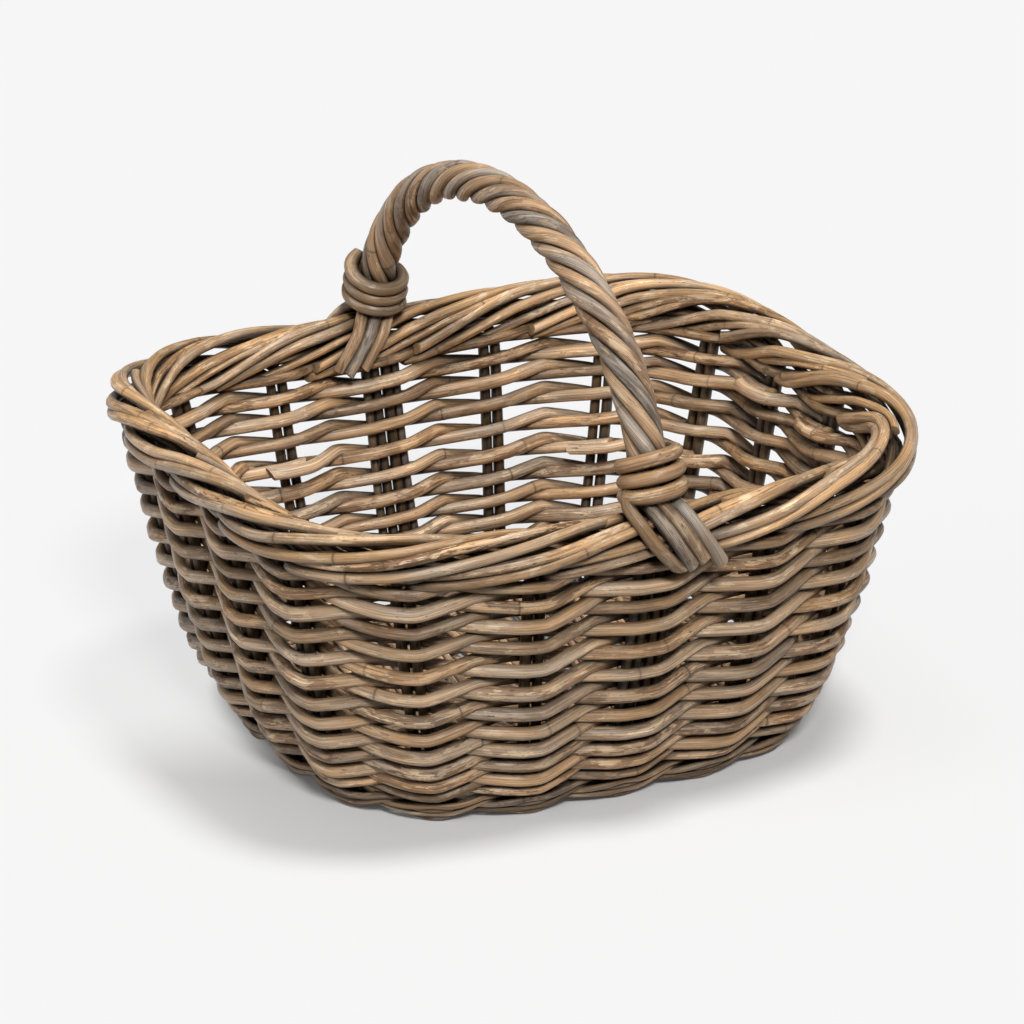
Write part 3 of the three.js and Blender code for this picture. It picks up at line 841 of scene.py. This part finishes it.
def stake_path(stake, side):
    """One cane of a pair, side 1 on the right: up the wall, over at the rim and round the roll."""
    run = np.linspace(STAKE_SEAT, STAKE_TOP, RISE_POINTS)
    left = wall_point(stake - PASS_HALF, run)
    right = wall_point(stake + PASS_HALF, run)
    along, up, out = wall_frame(np.full_like(run, stake), run)
    upright = (left + right) / 2 + along * side * STAKE_SPREAD
    heel = ((left + right) / 2)[-1]
    along, up, out = along[-1], up[-1], out[-1]
    angle = np.linspace(0, math.pi / 2, 9)[1:-1, None]
    bend = heel + along * BORDER_BEND * (1 - np.cos(angle)) + up * BORDER_BEND * np.sin(angle)
    bend = bend + out * ENTRY_OUT * angle / (math.pi / 2)
    spread = STAKE_SPREAD + (STAKE_CANE / 2 - STAKE_SPREAD) * angle / (math.pi / 2)
    bend = bend + side * spread * (along * np.cos(angle) - up * np.sin(angle))
    entry = BORDER_BEND / STAKE_SPACING
    past = np.linspace(entry, BORDER_SPAN + rng.uniform(*BORDER_ENDS), ROLL_POINTS)
    loose = np.clip(past - 0.5, 0, 1)
    wobble = rng.uniform(-BORDER_WOBBLE, BORDER_WOBBLE)
    wobble = wobble + BORDER_WAVE * np.sin(past * rng.uniform(0.8, 1.5) + rng.uniform(0, TAU))
    slip = rng.uniform(-BORDER_SLIP, BORDER_SLIP) * loose
    turn = border_turn(past - entry + slip) + wobble * loose
    level, up = level_out(stake + past, WALL_RUN)
    radius = BORDER_RADIUS + rng.uniform(*BORDER_LOOSE) * loose
    centre = wall_point(stake + past, WALL_RUN) + turned(level, turn) * radius[:, None]
    centre[:, 2] -= BORDER_HANG * np.clip((past - HANG_START) / HANG_SPAN, 0, 1) ** HANG_POWER
    away = turned(level, np.maximum(turn, 0))
    heading = unit(np.gradient(centre, axis=0))
    across = -unit(np.cross(away, heading))
    roll = centre + across * side * STAKE_CANE / 2
    path = settle(np.concatenate([upright, bend, roll]), BORDER_EASE)
    # Painted shade on the upright part, up to the rim, fading out over a further share of the cane
    share = runs_along(upright)[-1] / runs_along(path)[-1]
    fade = ([0, share, share + PAINTED_SHADE_FADE, 1], [STAKE_PAINTED_SHADE, STAKE_PAINTED_SHADE, 1, 1])
    shade = np.interp(np.linspace(0, 1, 200), *fade)
    return path, shade


for stake in range(STAKES):
    canes = Canes()
    for side in (-1, 1):
        radius = STAKE_CANE / 2 * rng.uniform(*STAKE_SCALES)
        path, shade = stake_path(stake, side)
        canes.add(path, radius, tone_of(*STAKE_TONE), cuts=(10, 35), shade=shade)
    node = f"stake_pair_{stake + 1:02d}"
    canes.make("cane_" + node, "stake_cane", STAKE_SKIN, [node])

# Filling canes lie between the pairs on top of the border and end inside
FILL_CANE = 0.0058
FILL_SPAN = (1.55, 3.45)
FILL_TURN = 40
FILL_ENDS = (-0.25, 0.15)
FILL_HANG = (2.4, 1.0)
for stake in range(STAKES):
    canes = Canes()
    past = np.linspace(FILL_SPAN[0], FILL_SPAN[1] + rng.uniform(*FILL_ENDS), 90)
    turn = border_turn(past) + FILL_TURN + rng.uniform(-BORDER_WOBBLE, BORDER_WOBBLE)
    level, up = level_out(stake + past, WALL_RUN)
    path = wall_point(stake + past, WALL_RUN) + turned(level, turn) * BORDER_RADIUS
    path[:, 2] -= BORDER_HANG * np.clip((past - FILL_HANG[0]) / FILL_HANG[1], 0, 1)
    canes.add(settle(path, CANE_EASE), FILL_CANE / 2, tone_of(*FILL_TONE), cuts=(40, 40))
    canes.make(f"border_fill_{stake + 1:02d}", "stake_cane", STAKE_SKIN)

# Liners of the handle stand beside the middle uprights, front and back
LINER_CANE = 0.0062
LINER_GAP = 0.0033
LINER_FOOT = 0.012
LINER_SHORT = 0.006
LINER_WAVE = 0.0004
for name, stake in (("front", HANDLE_STAKES[0]), ("back", HANDLE_STAKES[1])):
    canes = Canes()
    for side in (-1, 1):
        run = np.linspace(LINER_FOOT, WALL_RUN - LINER_SHORT, RISE_POINTS)
        along, up, out = wall_frame(np.full_like(run, stake), run)
        shift = STAKE_SPREAD + STAKE_CANE / 2 + LINER_GAP + LINER_WAVE * np.sin(run / 0.03)
        path = wall_point(stake, run) + along * side * shift[:, None]
        canes.add(settle(path, CANE_EASE), LINER_CANE / 2, tone_of(*LINER_TONE), cuts=(20, 20))
    canes.make("liners_" + name, "handle_cane", ROPE_SKIN)

# Base
STICK_CLEAR = HOOP_CANE / 2 + BASE_CANE / 2 + CLEARANCE
HOOP_CLEAR = STICK_CLEAR / math.cos(math.radians(BASE_LAPS[1]))
BASE_LEVEL = BASE_LIFT + BASE_CANE / 2 + HOOP_CLEAR
BASE_EASE = 0.0022
box_low, box_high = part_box("base_hoop")
HOOP_HALF_LENGTH = box_high[0] - HOOP_CANE / 2
HOOP_HALF_WIDTH = box_high[1] - HOOP_CANE / 2

canes = Canes()
plan = plan_point(np.linspace(0, TAU, PLAN_POINTS), HOOP_HALF_LENGTH, HOOP_HALF_WIDTH, FOOT_SQUARENESS)
hoop = np.column_stack([plan, np.full(PLAN_POINTS, BASE_LEVEL)])
canes.add(hoop, HOOP_CANE / 2, tone_of(*HOOP_TONE), closed=True, rings=False)
canes.make("cane_base_hoop", "base_cane", BASE_SKIN, ["base_hoop"])


def hoop_reach(distance, half, other_half):
    share = min(abs(distance) / half, 1)
    return other_half * (1 - share**FOOT_SQUARENESS) ** (1 / FOOT_SQUARENESS)


def hoop_slope(distance, half):
    return math.copysign(abs(distance / half) ** (FOOT_SQUARENESS - 1), distance) / half


stick_rows = []
for k in range(1, BASE_STICKS + 1):
    row = k * 2 * HOOP_HALF_WIDTH / (BASE_STICKS + 1) - HOOP_HALF_WIDTH
    half = hoop_reach(abs(row) + HOOP_CANE / 2, HOOP_HALF_WIDTH, HOOP_HALF_LENGTH)
    half = half - HOOP_CANE / 2 - 2 * CLEARANCE
    canes = Canes()
    line = np.linspace([-half, row, BASE_LEVEL], [half, row, BASE_LEVEL], 100)
    canes.add(line, HOOP_CANE / 2, tone_of(*HOOP_TONE), cuts=(10, 10))
    canes.make(f"cane_base_stick_{k}", "base_cane", BASE_SKIN, [f"base_stick_{k}"])
    stick_rows.append(row)

pass_limit = hoop_reach(stick_rows[-1] + BASE_TURN_ROOM, HOOP_HALF_WIDTH, HOOP_HALF_LENGTH)
pass_count = 2 * math.floor(pass_limit / BASE_PITCH)


def hoop_lap(x, heading, degrees):
    row = heading * hoop_reach(x, HOOP_HALF_LENGTH, HOOP_HALF_WIDTH)
    out = unit(np.array([hoop_slope(x, HOOP_HALF_LENGTH), hoop_slope(row, HOOP_HALF_WIDTH), 0.0]))
    return np.array([x, row, BASE_LEVEL]) + turned(out, degrees) * HOOP_CLEAR


def base_corners(count, offset, first):
    """Bends of a cane woven across the sticks, first 1 over the first stick, -1 under it."""
    corners = []
    for number in range(count):
        x = (number - (pass_count - 1) / 2 + offset) * BASE_PITCH
        heading = 1 if number % 2 == 0 else -1
        if number == 0:
            corners.append(hoop_lap(x, -heading, BASE_LAPS[-1]))
        for k, row in enumerate(stick_rows):
            over = first if k % 2 == 0 else -first
            corners.append(np.array([x, heading * row, BASE_LEVEL + over * STICK_CLEAR]))
        laps = BASE_LAPS if number + 1 < count else BASE_LAPS[:1]
        for k, degrees in enumerate(laps):
            corners.append(hoop_lap(x + k / (len(BASE_LAPS) - 1) * BASE_PITCH, heading, degrees))
    return corners


canes = Canes()
canes.add(settle(base_corners(pass_count, 0, 1), BASE_EASE), BASE_CANE / 2, tone_of(*BASE_TONE))
canes.add(settle(base_corners(pass_count - 1, 0.5, -1), BASE_EASE), BASE_CANE / 2, tone_of(*BASE_TONE))
canes.make("cane_base_weaver", "base_cane", BASE_SKIN, ["base_weaver"])

# Handle
ARCH_SHARES = np.linspace(0, 1, 2001)
ARCH_POINTS = np.column_stack(
    [
        np.zeros(2001),
        -np.cos(ARCH_SHARES * math.pi) * RIM_WIDTH / 2,
        WALL_HEIGHT + np.sin(ARCH_SHARES * math.pi) * HANDLE_RISE,
    ]
)
ARCH_RUNS = runs_along(ARCH_POINTS)
ARCH_RUN = ARCH_RUNS[-1]
ROPE_START = BORDER_OUTER + HANDLE_CANE / 2 + ROPE_LIFT
FIRST_ROD = math.pi / HANDLE_RODS


def arch_point(run, angle, radius):
    run = np.asarray(run, float)
    ahead = follow(np.minimum(run + NUDGE, ARCH_RUN), ARCH_RUNS, ARCH_POINTS)
    tangent = unit(ahead - follow(np.maximum(run - NUDGE, 0), ARCH_RUNS, ARCH_POINTS))
    outward = np.stack([np.zeros_like(run), -tangent[..., 2], tangent[..., 1]], axis=-1)
    away = X_AXIS * np.cos(angle)[..., None] + outward * np.sin(angle)[..., None]
    return follow(run, ARCH_RUNS, ARCH_POINTS) + away * np.asarray(radius)[..., None]


LAP_HALF = math.radians(ROD_LAPS[0] - ROD_LAPS[1]) / 2
LAP_RADIUS = (BORDER_OUTER + HANDLE_CANE / 2 + CLEARANCE) / math.cos(LAP_HALF)
SLOT_WIDTH = (HANDLE_CANE + CLEARANCE) / math.cos(math.radians(ROD_SLANT))
ROD_LEAN = math.tan(math.radians(ROD_SLANT))


def foot_points(foot, angle, drop):
    side = math.copysign(1, math.sin(angle))
    slot = round(math.cos(angle)) * SLOT_WIDTH
    points = []
    outs = [LAP_RADIUS * math.cos(math.radians(d)) for d in ROD_LAPS]
    heights = [LAP_RADIUS * math.sin(math.radians(d)) for d in ROD_LAPS]
    for out, height in ((outs[0], heights[0]), (outs[1], heights[1]), (outs[1], -drop)):
        x = slot - foot * ROD_LEAN * (ROPE_START - height)
        points.append(np.array([x, foot * (RIM_WIDTH / 2 + side * out), WALL_HEIGHT + height]))
    return points


def skewed(path):
    """The handle's back foot stands a little to the left."""
    path = np.array(path, float)
    path[:, 0] -= HANDLE_SKEW * np.clip(path[:, 1] / RIM_WIDTH + 0.5, 0, 1)
    return path


ROPE_LAY_RADIUS = 0.0088
ROD_SWELL = 1.05
ROD_ENDS = (-0.004, 0.003)
LAY_DRIFT = 0.07
ROD_LOOSE = (-0.0003, 0.0004)
ROD_WAVE = 0.0003
ROD_FLAT = (1.0, 1.12)
# Painted shade on the front leg of each handle rod, fading out towards the crown
ROD_PAINTED_SHADE = np.interp(np.linspace(0, 1, 100), [0, 0.22, 0.38], [0.76, 0.80, 0.98])
for rod in range(HANDLE_RODS):
    start_angle = FIRST_ROD + rod / HANDLE_RODS * TAU
    share = np.linspace(0, 1, ROPE_POINTS)
    angle = start_angle + HANDLE_TURNS * share * TAU + LAY_DRIFT * np.sin(share * 23 + rod)
    run = ROPE_START + share * (ARCH_RUN - 2 * ROPE_START)
    wander = rng.uniform(*ROD_LOOSE) + ROD_WAVE * np.sin(share * 31 + rng.uniform(0, TAU))
    rope = arch_point(run, angle, ROPE_LAY_RADIUS + wander)
    axis = arch_point(run, angle, np.zeros_like(run))
    front = foot_points(-1, start_angle, ROD_DROP + rng.uniform(*ROD_ENDS))[::-1]
    back = foot_points(1, start_angle, ROD_DROP + rng.uniform(*ROD_ENDS))
    middle_front = np.array([0, -RIM_WIDTH / 2, WALL_HEIGHT])
    middle_back = np.array([0, RIM_WIDTH / 2, WALL_HEIGHT])
    lean = np.array([0, 1, 1])
    way = [(point - middle_front) * lean for point in front] + list(rope - axis)
    way = np.array(way + [(point - middle_back) * lean for point in back])
    corners = np.concatenate([front, rope, back])
    runs = runs_along(corners)
    path = settle(skewed(corners), CANE_EASE)
    way = follow(np.linspace(0, runs[-1], len(path)), runs, unit(way))
    canes = Canes()
    canes.add(
        path,
        HANDLE_CANE / 2 * ROD_SWELL,
        tone_of(*ROD_TONES[rod % 2]),
        cuts=(16, 16),
        away=way,
        flat=ROD_FLAT,
        uneven=1.5,
        shade=ROD_PAINTED_SHADE,
    )
    canes.make(f"cane_handle_rod_{rod + 1}", "handle_cane", ROPE_SKIN, [f"handle_rod_{rod + 1}"])

canes = Canes()
core_run = np.linspace(BORDER_OUTER + CLEARANCE, ARCH_RUN - BORDER_OUTER - CLEARANCE, 220)
core_path = skewed(arch_point(core_run, np.zeros(220), np.zeros(220)))
canes.add(core_path, ROPE_LAY_RADIUS - HANDLE_CANE / 2, tone_of(*CORE_TONE))
canes.make("cane_handle_core", "handle_cane", ROPE_SKIN, ["handle_core"])

BINDING_PRESS = 0.0002
BINDING_RADIUS = ROPE_LAY_RADIUS + HANDLE_CANE / 2 + BINDING_CANE / 2 - BINDING_PRESS
COIL_WAVE = 0.0005
BINDING_START = BORDER_OUTER + BINDING_SEAT + BINDING_CANE / 2
TAIL_SCALE = 0.92
COIL_EASE = 0.002
TAIL_EASE = 0.003
# Way of a tail down beside the rods: right, out and up from the middle of the rim
BINDING_TAIL = np.array(
    [
        [-0.0165, -0.0035, 0.0265],
        [-0.0200, 0.0035, 0.0205],
        [-0.0170, 0.0150, 0.0126],
        [-0.0090, 0.0198, -0.0005],
        [0.0012, 0.0185, -0.0120],
        [0.0085, 0.0165, -0.0185],
    ]
)
for name, foot in (("binding_front", -1), ("binding_back", 1)):
    turn = np.linspace(0, BINDING_TURNS, ROPE_POINTS)
    run = BINDING_START + turn * BINDING_PITCH
    wander = COIL_WAVE * np.sin(turn * 5.1 + foot)
    start_angle = math.radians(BINDING_HIDDEN if foot < 0 else BINDING_HIDDEN - 180)
    coil = arch_point(run if foot < 0 else ARCH_RUN - run, start_angle - turn * TAU, BINDING_RADIUS + wander)
    tail = BINDING_TAIL * [-foot, foot, 1] + [0, foot * RIM_WIDTH / 2, WALL_HEIGHT]
    canes = Canes()
    coil = skewed(settle(coil, COIL_EASE))
    tail = skewed(settle(tail, TAIL_EASE))
    canes.add(coil, BINDING_CANE / 2, tone_of(*BINDING_TONE), cuts=(45, 30))
    canes.add(tail, BINDING_CANE / 2 * TAIL_SCALE, tone_of(*BINDING_TONE), cuts=(20, 40))
    canes.make("cane_" + name, "binding_cane", BINDING_SKIN, [name])

# Filling of the base: canes across both ends of the sticks and rounds between the hoop and the wall
END_CANE = 0.0054
END_STEP = 0.0058
END_PASSES = 4
END_FIRST = pass_count / 2 * BASE_PITCH + END_CANE / 2
EDGE_ROUNDS = 3
EDGE_STEP = 0.0056
END_EASE = 0.003
canes = Canes()
for side in (-1, 1):
    for number in range(END_PASSES):
        x = min(END_FIRST + number * END_STEP, HOOP_HALF_LENGTH - HOOP_CANE)
        half = hoop_reach(x, HOOP_HALF_LENGTH, HOOP_HALF_WIDTH)
        rows = [-half, *[row for row in stick_rows if abs(row) < half - HOOP_CANE], half]
        heights = [STICK_CLEAR * (-1) ** (k + number) for k in range(len(rows))]
        across = np.linspace(-half, half, 120)
        level = BASE_LEVEL + np.interp(across, rows, heights)
        path = np.column_stack([np.full(120, side * x), across, level])
        canes.add(settle(path, END_EASE), END_CANE / 2, tone_of(*END_TONE))
for number in range(EDGE_ROUNDS):
    grow = HOOP_CANE / 2 + EDGE_STEP * (number + 0.5)
    halves = (HOOP_HALF_LENGTH + grow, HOOP_HALF_WIDTH + grow)
    plan = plan_point(np.linspace(0, TAU, PLAN_POINTS), *halves, FOOT_SQUARENESS)
    edge = np.column_stack([plan, np.full(PLAN_POINTS, BASE_LEVEL)])
    canes.add(edge, EDGE_STEP / 2, tone_of(*EDGE_TONE), closed=True, rings=False)
canes.make("base_fill", "base_cane", BASE_SKIN)

# Painted shade in recesses, multiplied into the canes' lightness before they are made
paint_recess_shade()
for canes, *rest in WAITING:
    canes.place(*rest)

# Floor, light and camera
FLOOR_GLOW = 0.92
FLOOR_COLOUR = 0.84
FLOOR_BOUNCE = 0.45
GLOW_NEAR = 0.8
GLOW_FAR = 12.0
GLOW_LEAST = 0.04
GLOW_MOST = 0.68
BACK_GLOW = (-0.06, 0.10, 0.0, 0.78)
BACK_FAR = 1.6
FOOT_POWER = 4.0
FOOT_HALF = (RIM_LENGTH / 2 - END_FLARE, RIM_WIDTH / 2 - SIDE_FLARE)
floor_nodes = Nodes("studio_floor")
floor_nodes.shader.inputs["Roughness"].default_value = 0.9
floor_nodes.shader.inputs["Specular IOR Level"].default_value = 0.0
floor_nodes.shader.inputs["Emission Color"].default_value = (1, 1, 1, 1)
light_path = floor_nodes.new("ShaderNodeLightPath").outputs
seen_ray = floor_nodes.math("ADD", light_path["Is Camera Ray"], light_path["Is Glossy Ray"])
seen_ray = floor_nodes.math("ADD", seen_ray, light_path["Is Transmission Ray"], clamp=True)
place = floor_nodes.new("ShaderNodeSeparateXYZ")
floor_nodes.put(place.inputs[0], floor_nodes.new("ShaderNodeNewGeometry").outputs["Position"])
# The floor glows for camera, glossy and transmission rays, and its grey falls as the glow grows. The glow is
# least near the foot and grows away from it and behind the basket: a painted glow that keeps the shadow near
# the foot and paints out the shadow further off and behind.
shares = []
for k in range(2):
    share = floor_nodes.math("DIVIDE", place.outputs[k], FOOT_HALF[k])
    shares.append(floor_nodes.math("POWER", floor_nodes.math("ABSOLUTE", share), FOOT_POWER))
under = floor_nodes.math("ADD", shares[0], shares[1])
glow_share = floor_nodes.spread(under, GLOW_NEAR, GLOW_FAR, GLOW_LEAST, GLOW_MOST)
behind = floor_nodes.spread(place.outputs[1], *BACK_GLOW)
behind = floor_nodes.math("MULTIPLY", behind, floor_nodes.spread(under, GLOW_NEAR, BACK_FAR))
glow_share = floor_nodes.math("MAXIMUM", glow_share, behind)
grey = floor_nodes.math("MULTIPLY", floor_nodes.math("SUBTRACT", 1.0, glow_share), FLOOR_COLOUR)
bounce = floor_nodes.math("ADD", floor_nodes.math("MULTIPLY", seen_ray, 1 - FLOOR_BOUNCE), FLOOR_BOUNCE)
grey = floor_nodes.math("MULTIPLY", grey, bounce)
floor_nodes.put(floor_nodes.shader.inputs["Base Color"], floor_nodes.value_colour(grey))
glow = floor_nodes.math("MULTIPLY", seen_ray, floor_nodes.math("MULTIPLY", glow_share, FLOOR_GLOW))
floor_nodes.put(floor_nodes.shader.inputs["Emission Strength"], glow)
FLOOR_HALF = 8.0
floor_mesh = bpy.data.meshes.new("floor")
floor_corners = [(x * FLOOR_HALF, y * FLOOR_HALF, 0) for x, y in ((-1, -1), (1, -1), (1, 1), (-1, 1))]
floor_mesh.from_pydata(floor_corners, [], [(0, 1, 2, 3)])
floor_mesh.materials.append(floor_nodes.material)
floor = bpy.data.objects.new("floor", floor_mesh)
bpy.context.scene.collection.objects.link(floor)

ROOM_LIGHT = 0.12
world = bpy.data.worlds.new("studio")
bpy.context.scene.world = world
world.use_nodes = True
world.node_tree.nodes["Background"].inputs["Color"].default_value = (1, 1, 1, 1)
world.node_tree.nodes["Background"].inputs["Strength"].default_value = ROOM_LIGHT


def sun(name, strength, azimuth, elevation, spread):
    """A lamp at that azimuth, 0 at +X and 90 at +Y, and elevation, as wide as spread in degrees."""
    lamp = bpy.data.lights.new(name, "SUN")
    lamp.energy = strength
    lamp.angle = math.radians(spread)
    holder = bpy.data.objects.new(name, lamp)
    bpy.context.scene.collection.objects.link(holder)
    a, e = math.radians(azimuth), math.radians(elevation)
    toward = Vector((math.cos(a) * math.cos(e), math.sin(a) * math.cos(e), math.sin(e)))
    holder.rotation_mode = "QUATERNION"
    holder.rotation_quaternion = toward.to_track_quat("Z", "Y")


sun("key", strength=1.5, azimuth=-50, elevation=79, spread=12)
sun("front", strength=2.15, azimuth=-105, elevation=42, spread=12)
sun("left", strength=0.7, azimuth=175, elevation=14, spread=30)

CAMERA_AZIMUTH = -26.05
CAMERA_ELEVATION = 22.43
CAMERA_DISTANCE = 3.3767
CAMERA_TARGET = Vector((0, 0, 0.100))
IMAGE_SIDE = 1024
FOCAL_PIXELS = 5385.33
CENTRE_SHIFT = (-1.08, 48.93)
CAMERA_ROLL = -0.1
camera_data = bpy.data.cameras.new("camera")
camera_data.sensor_width = 36
camera_data.lens = FOCAL_PIXELS / IMAGE_SIDE * camera_data.sensor_width
camera_data.shift_x = -CENTRE_SHIFT[0] / IMAGE_SIDE
camera_data.shift_y = CENTRE_SHIFT[1] / IMAGE_SIDE
camera = bpy.data.objects.new("camera", camera_data)
bpy.context.scene.collection.objects.link(camera)
a, e = math.radians(CAMERA_AZIMUTH), math.radians(CAMERA_ELEVATION)
back = Vector((math.sin(a) * math.cos(e), -math.cos(a) * math.cos(e), math.sin(e)))
camera.location = CAMERA_TARGET + back * CAMERA_DISTANCE
camera.rotation_mode = "QUATERNION"
roll = Matrix.Rotation(math.radians(CAMERA_ROLL), 3, "Z").to_quaternion()
camera.rotation_quaternion = (-back).to_track_quat("-Z", "Y") @ roll
bpy.context.scene.camera = camera
bpy.context.scene.view_settings.view_transform = "Standard"
